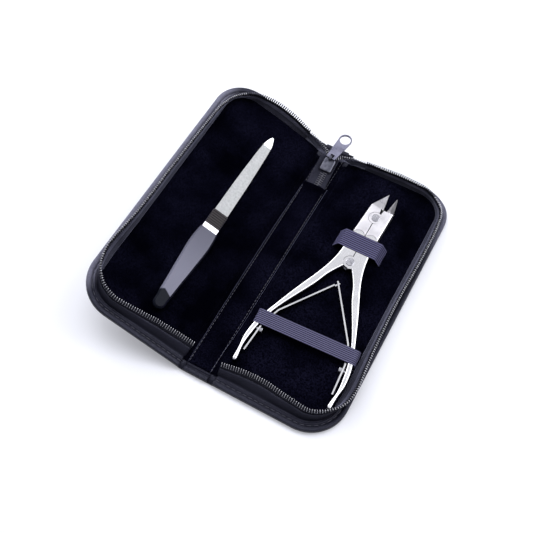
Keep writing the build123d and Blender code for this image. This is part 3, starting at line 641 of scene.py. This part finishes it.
def small_piece(name, rings):
    """A small closed piece from eight-sided rings: height, half length and half width of each."""
    mesh = bpy.data.meshes.new(name)
    vertices, faces = [], []
    for z, x, y in rings:
        cut = 0.4 * min(x, y)
        vertices += [Vector(p) * MM for p in ((x, y - cut, z), (x - cut, y, z), (cut - x, y, z), (-x, y - cut, z),
                                              (-x, cut - y, z), (cut - x, -y, z), (x - cut, -y, z), (x, cut - y, z))]
    for r in range(len(rings) - 1):
        faces += [(8 * r + k, 8 * r + (k + 1) % 8, 8 * r + 8 + (k + 1) % 8, 8 * r + 8 + k) for k in range(8)]
    top = 8 * (len(rings) - 1)
    faces += [tuple(reversed(range(8))), tuple(range(top, top + 8))]
    mesh.from_pydata(vertices, [], faces)
    mesh.polygons.foreach_set("use_smooth", [True] * len(mesh.polygons))
    return bpy.data.objects.new(name, mesh)


def metal_material(name, low, high, roughness, cloud_scale, metallic=1.0):
    """Metal with a slight cloudiness of its colour and polish."""
    material, tree, shader, where = new_material(name, metallic=metallic)
    clouds = mottled(tree, where, cloud_scale)
    paint(tree, shader, clouds, low, high)
    tree.links.new(ranged(tree, clouds, roughness * 0.75, roughness * 1.25), shader.inputs["Roughness"])
    return material, tree, shader, where


teeth_material = metal_material("nickel teeth", (0.27, 0.27, 0.31), (0.50, 0.50, 0.54), 0.26, 700.0)[0]
# the far end's teeth get a darker colour as painted shade
far_teeth_in_painted_shade = metal_material("nickel teeth in painted shade", (0.030, 0.030, 0.042), (0.090, 0.090, 0.115), 0.4, 700.0)[0]
far_tooth = small_piece("far tooth", [(-1.25, 0.20, 0.50), (-1.05, 0.30, 0.62), (0.95, 0.34, 0.64), (1.15, 0.24, 0.44)])
tooth = small_piece("tooth", [(-1.25, 0.10, 0.50), (-1.05, 0.15, 0.62), (0.15, 0.15, 0.62), (0.36, 0.13, 0.50),
                              (0.60, 0.22, 0.60), (0.92, 0.22, 0.56), (1.12, 0.12, 0.36)])
tooth_pitch, tooth_depth = 1.22, 0.75
# the cord is coloured near black as painted shade in the gaps between the teeth
cord_in_painted_shade = cloth_material("tape cord in painted shade", (0.001, 0.001, 0.002), (0.004, 0.004, 0.007), 0.5, 0.00003, 0.8, 0.03)


def wall_directions(half, a, rise, depth):
    """Along the wall and up its slope."""
    step = 0.4
    along = wall_point(half, min(a + step, wall_run), rise, depth) - wall_point(half, max(a - step, 0), rise, depth)
    return along, wall_point(half, a, rise + 0.05, depth) - wall_point(half, a, rise - 0.05, depth)


def on_chain(half, a):
    """Middle of the tooth at a, with its directions."""
    return (wall_point(half, a, tooth_rise(a), tooth_depth), *wall_directions(half, a, tooth_rise(a), tooth_depth))


for half, body in HALVES.items():
    stations, a, last = [], 0.4, None
    while a < wall_run:
        here = on_chain(half, a)[0]
        if last is None or (here - last).length >= tooth_pitch:
            stations.append(a)
            last = here
        a += 0.05
    far_start = near_run + 1.6 * corner_run + side_run
    for part, prototype, material, chosen in (
            ("teeth", tooth, teeth_material, [a for a in stations if a < far_start]),
            ("far_teeth", far_tooth, far_teeth_in_painted_shade, [a for a in stations if a >= far_start])):
        row_of(f"{half}_{part}", [on_chain(half, a) for a in chosen], prototype, material, body,
               [f"{half}_zip_teeth"], unevenness=0.03, seed=3)
    rows = [[wall_point(half, a, 0.81 - tape_drop(a) + 0.085 * math.sin(turn), tooth_depth + 0.52 * math.cos(turn))
             for turn in (math.pi / 5 * k for k in range(10))] for a in wall_stations(1.5)]
    rows_piece(f"{half}_tape_cord", rows, cord_in_painted_shade, body, [])


# ---------------------------------------------------------------- Velvet linings
# Midnight-blue cotton velvet over thin board, tucked in along the walls; short pile that shows brushed patches.
# The spine's velvet is a strip of its own, sewn along both folds, with a lining edge beside each seam, coloured light
# grey as a painted highlight along it.
velvet_material, tree, shader, where = new_material("midnight velvet", roughness=0.9, specular_ior_level=0.0,
                                                    sheen_weight=0.05, sheen_roughness=0.35,
                                                    sheen_tint=(0.40, 0.42, 0.85))
brushed, pile = mottled(tree, where, 45.0, 1.6), mottled(tree, where, 1500.0, 1.6)
paint(tree, shader, calculated(tree, "MULTIPLY", brushed, pile), (0.0004, 0.0004, 0.0016), (0.0052, 0.0052, 0.0135))
raised_by(tree, shader, pile, 0.00012)

floor_top, lining_rise, fold_far_v = 2.4, 0.14, 73.4
tuck_depth, tuck_width = 0.35, 0.5


def wall_plan(half, a, rise, depth):
    """The wall's place on the cover, without its height."""
    u, v, nu, nv = foot(a)
    inward = smooth_value(lean_in[half], a)
    run = inward * rise + depth * math.hypot(inward, wall_rise) / wall_rise
    return u + nu * run, v + nv * run


def velvet_floor(half, body):
    """The velvet in lines from the near wall to the far one; the lines bend with the long wall beside it."""
    columns = [(fold_clear + (foot_side - foot_corner - fold_clear) * i / 18, None) for i in range(18)]
    columns += [(None, i / 14) for i in range(15)]
    shares = [0, 0.004, 0.011, 0.022] + [0.04 + 0.92 * i / 44 for i in range(45)] + [0.978, 0.989, 0.996, 1]
    rows, side_foot = [], tape_foot(wall_run / 2) - 0.1
    for column, (u, turn) in enumerate(columns):
        if turn is None:
            near_a = u - fold_clear
            far_a = wall_run - (u - wing_start)
        else:
            near_a = near_run + corner_run * turn
            far_a = near_run + 2 * corner_run + side_run - corner_run * turn
        near = wall_plan(half, near_a, lining_rise, tape_foot(near_a) - 0.1)
        if turn is None and u < wing_start:
            end = wall_plan(half, wall_run, lining_rise, tape_foot(wall_run) - 0.1)
            share = (u - fold_clear) / (wing_start - fold_clear)
            far = (u, fold_far_v + (end[1] - fold_far_v) * share)
        else:
            far = wall_plan(half, far_a, lining_rise, tape_foot(far_a) - 0.1)
        row = []
        for share in shares:
            cu, cv = near[0] + (far[0] - near[0]) * share, near[1] + (far[1] - near[1]) * share
            edge = wall_plan(half, near_run + corner_run + side_run * share, lining_rise, side_foot)
            gap = min(share, 1 - share) * (far[1] - near[1])
            tuck = tuck_depth * math.exp(-(gap / tuck_width) ** 2)
            if turn is not None:
                straight = wall_plan(half, near_run + corner_run, lining_rise, side_foot)[0]
                other = wall_plan(half, near_run + corner_run + side_run, lining_rise, side_foot)[0]
                cu += (edge[0] - (straight + (other - straight) * share)) * turn ** 2
                tuck = max(tuck, tuck_depth * math.exp(-((edge[0] - cu) / tuck_width) ** 2))
            wave = 0.10 * noise.noise(Vector((cu * 0.06, cv * 0.06, 5.0 if half == "left" else 9.0)))
            row.append(placed(half, cu, cv, floor_top - tuck + wave))
        rows.append(row)
    piece = rows_piece(f"{half}_velvet", rows, velvet_material, None, [f"{half}_lining"], wrap=False)
    if sum(p.normal.z for p in piece.data.polygons) < 0:
        piece.data.flip_normals()
    shell = piece.modifiers.new("thickness", "SOLIDIFY")
    shell.thickness, shell.offset = 0.45 * MM, -1.0
    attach(piece, body)


for half, body in HALVES.items():
    velvet_floor(half, body)


def seam_height(across):
    """Velvet over a fold: down from the cover to the spine, with the seam's groove between."""
    return 1.72 + 0.66 * smoothstep((across + 0.6) / 2.6) - 0.42 * math.exp(-((across + 0.25) / 0.38) ** 2)


for half in HALVES:
    fold_strip(f"{half}_fold_velvet", half, 1.15, 2.25, seam_height, 0.42, (75.1, 70.5), velvet_material)
spine_end, hem = 75.25, 50.4


def spine_height(x, v):
    """Top of the spine's velvet, which lifts over the end of the zip's tail."""
    lift = smoothstep((v - hem + 5.0) / 4.6) if v <= hem else 0.0
    over = 1.05 + 0.42 * math.exp(-((x - 1.3) / 2.8) ** 2)
    return (1.72 + 0.16 * (1 - (x / 7.0) ** 2) + 0.10 * noise.noise(Vector((x * 0.14, v * 0.06, 2.0)))
            + over * lift * (1 - (abs(x) / 7.2) ** 6) - 0.3 * math.exp(-((spine_end - abs(v)) / 0.6) ** 2))


before_hem = [-spine_end + (spine_end + 44) * j / 76 for j in range(76)] + [44 + 6.4 * j / 12 for j in range(13)]
after_hem = [50.7] + [51.5 + (spine_end - 51.5) * j / 16 for j in range(17)]
line, rows = [-7.0 + 14.0 * i / 20 for i in range(21)], []
for v in before_hem + after_hem:
    rows.append([Vector((x, v, spine_height(x, v))) for x in line] + [Vector((x, v, 1.25)) for x in reversed(line)])
rows_piece("spine_velvet", rows, velvet_material, "spine", ["spine_lining"])

thread_material = metal_material("waxed thread", (0.012, 0.012, 0.022), (0.036, 0.036, 0.056), 0.6, 500.0, 0.0)[0]
# the lining edge is coloured lighter than the velvet as a painted highlight along the seam
seam_edge_with_painted_highlight = cloth_material("lining edge", (0.030, 0.032, 0.056), (0.080, 0.084, 0.135), 0.5, 0.00003, 0.6, 0.2)
# where each seam of the spine runs: distance along the spine and across it
seam_bow = {"left": [(-75.3, -6.7), (-63, -6.75), (-43, -7.05), (-21, -7.2), (6, -7.3), (26, -7.15), (49.5, -6.75)],
            "right": [(-75.3, 6.1), (-63, 6.3), (-48, 7.1), (-26, 7.15), (13, 7.15), (35, 7.25), (51, 7.3)]}
stitch = small_piece("stitch", [(-0.16, 0.55, 0.10), (-0.02, 0.80, 0.17), (0.10, 0.62, 0.12)])
stitch_pitch, stitch_out, stitch_height = 3.1, 1.65, 1.97
for half, body in HALVES.items():
    places, a = [], 1.5
    while a < wall_run + wing_start - 4:
        u, v, nu, nv = foot(a)
        stitch_u, stitch_v = u - nu * stitch_out, v - nv * stitch_out
        place = placed(half, stitch_u, stitch_v, stitch_height)
        places.append((place, placed(half, stitch_u + nv, stitch_v - nu, stitch_height) - place,
                       placed(half, u, v, 1.0) - placed(half, u, v, 0.0)))
        a += stitch_pitch
    row_of(f"{half}_rim_stitches", places, stitch, thread_material, body, size=1.35,
           unevenness=0.06, seed=11)
seam_x, seam_start, seam_pitch, seam_top = 6.25, -73.5, 2.2, 1.86
edge_top, edge_radius = 1.84, 0.09
for side, label in ((-1, "left"), (1, "right")):
    places = [(Vector((side * seam_x, seam_start + seam_pitch * i, seam_top)), Vector((0, 1, 0)), Vector((0, 0, 1)))
              for i in range(67)]
    row_of(f"{label}_seam_stitches", places, stitch, thread_material, "spine", unevenness=0.06, seed=5)
    rows = []
    for i in range(63):
        v = -spine_end + (spine_end + (49.5 if side < 0 else 51.0)) * i / 62
        place = Vector((smooth_value(seam_bow[label], v), v,
                        edge_top + 0.05 * noise.noise(Vector((v * 0.2, side, 6.0)))))
        rows.append([place + Vector((edge_radius * math.cos(turn), 0, edge_radius * math.sin(turn)))
                     for turn in (math.pi / 3 * k for k in range(6))])
    rows_piece(f"{label}_seam_edge", rows, seam_edge_with_painted_highlight, "spine", [])


# ---------------------------------------------------------------- Zip tail and ends
# Where the walls stop, both tapes turn down to the slider, close in it, and run on as a tail of closed chain
# whose end is sewn under the spine's velvet.
tail_start, tail_slope, slider_x, slider_top = 50.0, math.radians(16), 1.3, 19.0
cloth_start, cloth_length, cloth_left, cloth_width = -1.4, 20.0, -6.7, 11.4


def on_tail(x, t, n):
    """A point x from the slider's line, t up the tail and n above the tape."""
    c, s = math.cos(tail_slope), math.sin(tail_slope)
    return Vector((slider_x + x, tail_start + t * c - n * s, 2.25 + t * s + n * c))


rows = []
for i in range(30):
    t = cloth_start + cloth_length * i / 29
    top, bottom = [], []
    for k in range(23):
        x = cloth_left + cloth_width * k / 22
        beside = smoothstep((abs(x + 0.3) - 2.6) / 3.4) * smoothstep((t - 1.0) / 9)
        n = 0.9 * beside + 0.08 * noise.noise(Vector((x * 0.5, t * 0.3, 4.0)))
        top.append(on_tail(x * (1 - 0.06 * beside), t, n + 0.3))
        bottom.append(on_tail(x * (1 - 0.06 * beside), t, n - 0.25))
    rows.append(top + bottom[::-1])
tail_material = cloth_material("tail tape", (0.003, 0.003, 0.006), (0.030, 0.030, 0.046),
                               0.60, 0.00010, 0.75, 0.1)
rows_piece("tail_tape", rows, tail_material, "spine", ["zip_tail"])
places = []
for side, start in ((-1, 0.9), (1, 1.65)):
    places += [(on_tail(side * 0.72, start + tooth_pitch * i, 0.12), on_tail(0, 1, 0) - on_tail(0, 0, 0),
                Vector((-side, 0, 0))) for i in range(7)]
tail_metal = metal_material("dark coil", (0.050, 0.050, 0.066), (0.120, 0.120, 0.150), 0.5, 700.0, 0.2)[0]
row_of("tail_chain", places, tooth, tail_metal, "spine", seed=7)


def wing_place(half, t):
    """Middle of the chain between the wall, at 0, and the slider, at 1, with its direction away from the tape."""
    side = -1 if half == "left" else 1
    start, along, up = on_chain(half, wall_run)
    slider = on_tail(side * 1.0, slider_top, 0.0)
    leave = Vector((side * 0.75, 0.62, 0.25)).normalized()
    after_wall, before_slider = start + along.normalized() * 5.5, slider + leave * 4.5
    place = (start * (1 - t) ** 3 + after_wall * 3 * t * (1 - t) ** 2 + before_slider * 3 * t * t * (1 - t)
             + slider * t ** 3)
    turn = smoothstep((t - 0.25) / 0.75)
    return place, (up.normalized() * (1 - turn) + Vector((-side, 0, 0)) * turn).normalized()


for half in HALVES:
    side = -1 if half == "left" else 1
    steps = 26
    line = [wing_place(half, i / steps) for i in range(steps + 1)]
    rows = []
    for i, (place, up) in enumerate(line):
        ahead = line[min(i + 1, steps)][0] - line[max(i - 1, 0)][0]
        flat = ahead.cross(up).normalized() * 0.25
        reach = [0.7 + 4.3 * k / 6 for k in range(7)]
        rows.append([place - up * r + flat for r in reach] + [place - up * r - flat for r in reversed(reach)])
    tape = rows_piece(f"{half}_tape_end", rows, tape_material, None, [f"{half}_zip_wing"])
    run = sum((b[0] - a[0]).length for a, b in zip(line, line[1:]))
    count = int((run - 0.8) / tooth_pitch)
    places = []
    for i in range(count):
        share = (i + 0.8) * tooth_pitch / run
        place, up = wing_place(half, share)
        places.append((place, wing_place(half, share + 0.01)[0] - place, up))
    chain = row_of(f"{half}_chain_end", places, tooth, teeth_material, seed=9)
    for piece in (tape, chain):
        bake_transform(piece)


# ---------------------------------------------------------------- Slider and pull
# A cast zinc slider in dark nickel with an arched bail, on the closed chain where the walls stop,
# and a flat satin pull with a round finger hole, hung in the bail.
def dress(names, material):
    """CAD solids shown as they are, in their material."""
    for name in names:
        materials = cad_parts[name].data.materials
        materials.clear()
        materials.append(material)


slider_material = metal_material("dark nickel", (0.060, 0.062, 0.085), (0.150, 0.152, 0.190), 0.34, 500.0)[0]
pull_material, tree, shader, _ = metal_material("satin nickel", (0.15, 0.15, 0.21), (0.22, 0.22, 0.30), 0.30, 300.0)
# the pull is darker towards its outlines by facing, as painted shade
stain(tree, shader, add_node(tree, "ShaderNodeLayerWeight", {"Blend": 0.30}).outputs["Facing"], (0.015, 0.015, 0.025))
dress(["zip_slider"], slider_material)
dress(["zip_pull"], pull_material)


# ---------------------------------------------------------------- Elastic loops
# Woven elastic bands with lengthwise ribs, stretched over the tools and sewn into the velvet at both feet.
# Two of lavender grey hold the nipper and a black one holds the file.
def rounded_path(points, radius, steps=7):
    """The line through the points, with its corners rounded and a point every 1.2 mm or so."""
    path = [points[0]]
    for before, corner, after in zip(points, points[1:], points[2:]):
        a = corner + (before - corner).normalized() * radius
        b = corner + (after - corner).normalized() * radius
        path += [a * (1 - t) ** 2 + corner * 2 * t * (1 - t) + b * t * t for t in (i / steps for i in range(steps + 1))]
    path.append(points[-1])
    fine = [path[0]]
    for p in path[1:]:
        count = max(1, round((p - fine[-1]).length / 1.2))
        last = fine[-1]
        fine += [last.lerp(p, (k + 1) / count) for k in range(count)]
    return fine


def elastic_band(name, path, across, width, ribs, rib_height, thickness, material, body, node):
    """An elastic band whose smooth top follows the path. Its thickness and its ribs lie beneath."""
    rows, count = [], ribs * 6
    for i, p in enumerate(path):
        ahead = path[min(i + 1, len(path) - 1)] - path[max(i - 1, 0)]
        down = across.cross(ahead).normalized()
        ribbed, smooth = [], []
        for k in range(count + 1):
            share = k / count
            edge = 1 - math.exp(-(min(share, 1 - share) * width / 0.35)) * 0.35
            rib = rib_height * (0.5 - 0.5 * math.cos(2 * math.pi * ribs * share))
            place = p + across * width * (share - 0.5)
            ribbed.append(place + down * (thickness * edge + rib))
            smooth.append(place)
        rows.append(ribbed + smooth[::-1])
    ribs_across = [ribs * k / count for k in range(count + 1)]
    return rows_piece(name, rows, material, body, [node], across=ribs_across + ribs_across[::-1] + [0.0])


def elastic_material(name, shaded_valley, top, weave_share):
    """Threads across ribs whose number is the surface map's second coordinate; painted shade between the ribs."""
    material, tree, shader, _ = new_material(name, roughness=0.65, specular_ior_level=0.12, sheen_weight=0.12,
                                             sheen_roughness=0.45, sheen_tint=(0.6, 0.6, 1.0))
    surface = axes(tree, surface_map(tree))
    wave = calculated(tree, "COSINE", calculated(tree, "MULTIPLY", surface["Y"], 2 * math.pi))
    rib = mask_between(tree, wave, 0.75, -0.45, smooth=True)
    lean = calculated(tree, "MULTIPLY_ADD", surface["Y"], 1.6, surface["X"])
    threads = calculated(tree, "SINE", calculated(tree, "MULTIPLY", lean, 9.0))
    thread = ranged(tree, threads, 1 - weave_share, 1.0)
    paint(tree, shader, calculated(tree, "MULTIPLY", rib, thread), shaded_valley, top)
    raised_by(tree, shader, threads, 0.00003)
    return material


grey_elastic = elastic_material("lavender elastic", (0.002, 0.002, 0.006), (0.105, 0.100, 0.210), 0.30)
lower_elastic = elastic_material("fine lavender elastic", (0.008, 0.008, 0.020), (0.150, 0.144, 0.262), 0.55)
dark_elastic = elastic_material("black elastic", (0.000, 0.000, 0.000), (0.062, 0.055, 0.060), 0.30)
loop_top, loop_foot, lower_turn = 7.26, 2.2, math.radians(2.8)


def cross_path(foot_reach, top_reach, centre, turn):
    """Up, over and down again across the right cover, turned about the loop's middle."""
    c, s = math.cos(turn), math.sin(turn)
    return [Vector((centre[0] + x * c, centre[1] + x * s, z))
            for x, z in ((-foot_reach, loop_foot), (-top_reach, loop_top), (top_reach, loop_top),
                         (foot_reach, loop_foot))]


elastic_band("upper_loop", rounded_path(cross_path(13.9, 10.75, (40.0, 25.0), 0), 0.9), Vector((0, 1, 0)),
             10.8, 9, 0.28, 0.55, grey_elastic, "right_cover", "nipper_upper_loop")
elastic_band("lower_loop", rounded_path(cross_path(28.15, 28.1, (39.6, -36.6), lower_turn), 2.2),
             Vector((-math.sin(lower_turn), math.cos(lower_turn), 0)),
             8.2, 8, 0.16, 0.55, lower_elastic, "right_cover", "nipper_lower_loop")
path = [placed("left", u, -2.8, h) for u, h in ((23.25, 2.2), (23.3, 4.58), (32.3, 4.58), (32.35, 2.2))]
elastic_band("blade_loop", rounded_path(path, 0.9)[::-1], Vector((0, 1, 0)),
             9.4, 7, 0.24, 0.5, dark_elastic, "left_cover", "file_loop")


# ---------------------------------------------------------------- Nail nipper
# Forged stainless steel, ground and mirror-polished; the two levers lap at the screws, which have slotted domes.
# The jaws are ground dull, and two leaf springs, each held by its own screw, push the handles apart.
steel_material, tree, shader, _ = metal_material("polished steel", (0.60, 0.60, 0.63), (0.69, 0.69, 0.72),
                                                 0.16, 120.0)
# sloping faces and rounded edges are painted darker than the flat tops, as painted shade
faces = axes(tree, add_node(tree, "ShaderNodeTexCoord").outputs["Normal"])
stain(tree, shader, mask_between(tree, faces["Z"], 0.995, 0.80), (0.10, 0.10, 0.13))
screw_material = metal_material("screw steel", (0.34, 0.34, 0.38), (0.48, 0.48, 0.52), 0.2, 300.0)[0]
jaw_material = metal_material("ground steel", (0.52, 0.51, 0.55), (0.64, 0.63, 0.67), 0.34, 120.0)[0]
dress(["left_handle", "right_handle", "left_spring", "right_spring"], steel_material)
dress(["left_jaw", "right_jaw"], jaw_material)
dress(["handle_screw", "jaw_screw", "left_spring_screw", "right_spring_screw", "left_link_pin", "right_link_pin"],
      screw_material)


# ---------------------------------------------------------------- Nail file
# A steel blade with crushed-sapphire grit up to its polished tip, in a silver ferrule on a dark moulded handle
# with bevelled edges, painted lighter as a reflection above an arched line at its foot.
grit_end, file_middle, handle_foot = (0.0522, 0.0526), -0.0328, (-0.0522, -0.0516)
grit_material, tree, shader, where = metal_material("sapphire grit", (0.36, 0.37, 0.39), (0.50, 0.51, 0.53),
                                                    0.5, 900.0, 0.0)
polished = mask_between(tree, axes(tree, where)["Y"], *grit_end)
stain(tree, shader, polished, (0.88, 0.88, 0.90))
tree.links.new(ranged(tree, polished, 0.0, 1.0), shader.inputs["Metallic"])
shader.inputs["Specular IOR Level"].default_value = 0.2
tree.links.new(ranged(tree, polished, 0.5, 0.15), shader.inputs["Roughness"])
raised_by(tree, shader, mottled(tree, where, 4000.0, 2.0), 0.00005)
ferrule_material = metal_material("silver ferrule", (0.42, 0.42, 0.46), (0.52, 0.52, 0.56), 0.2, 200.0)[0]

# painted light and shade: above an arched line at the foot the handle is painted lighter as a reflection, with a
# painted sheen paler towards the foot, and painted shade along the bevel on the spine's side
handle_material, tree, shader, where = new_material("moulded handle", roughness=0.38)
along = axes(tree, where)
beside = calculated(tree, "ABSOLUTE", calculated(tree, "SUBTRACT", along["X"], file_middle))
arch = calculated(tree, "MULTIPLY_ADD", beside, 0.55, along["Y"])
above_foot = mask_between(tree, arch, *handle_foot)
paint(tree, shader, above_foot, (0.004, 0.005, 0.010), (0.052, 0.053, 0.086))
lower = mask_between(tree, along["Y"], -0.008, -0.046, smooth=True)
stain(tree, shader, calculated(tree, "MULTIPLY", lower, above_foot), (0.115, 0.116, 0.170))
faces = axes(tree, add_node(tree, "ShaderNodeTexCoord").outputs["Normal"])
stain(tree, shader, mask_between(tree, faces["X"], 0.60, 0.75), (0.006, 0.006, 0.014))
tree.links.new(ranged(tree, above_foot, 0.06, 0.26), shader.inputs["Specular IOR Level"])
dress(["file_blade"], grit_material)
dress(["file_ferrule"], ferrule_material)
dress(["file_handle"], handle_material)


# ---------------------------------------------------------------- Boards
# A dark fibre board in each cover, glued between the leather and the velvet, stiffens it.
# The leather and the velvet hide it on all sides.
board_material, tree, shader, where = new_material("stiffener board", roughness=0.8)
paint(tree, shader, mottled(tree, where, 500.0), (0.006, 0.006, 0.007), (0.014, 0.014, 0.016))
dress(["left_board", "right_board"], board_material)
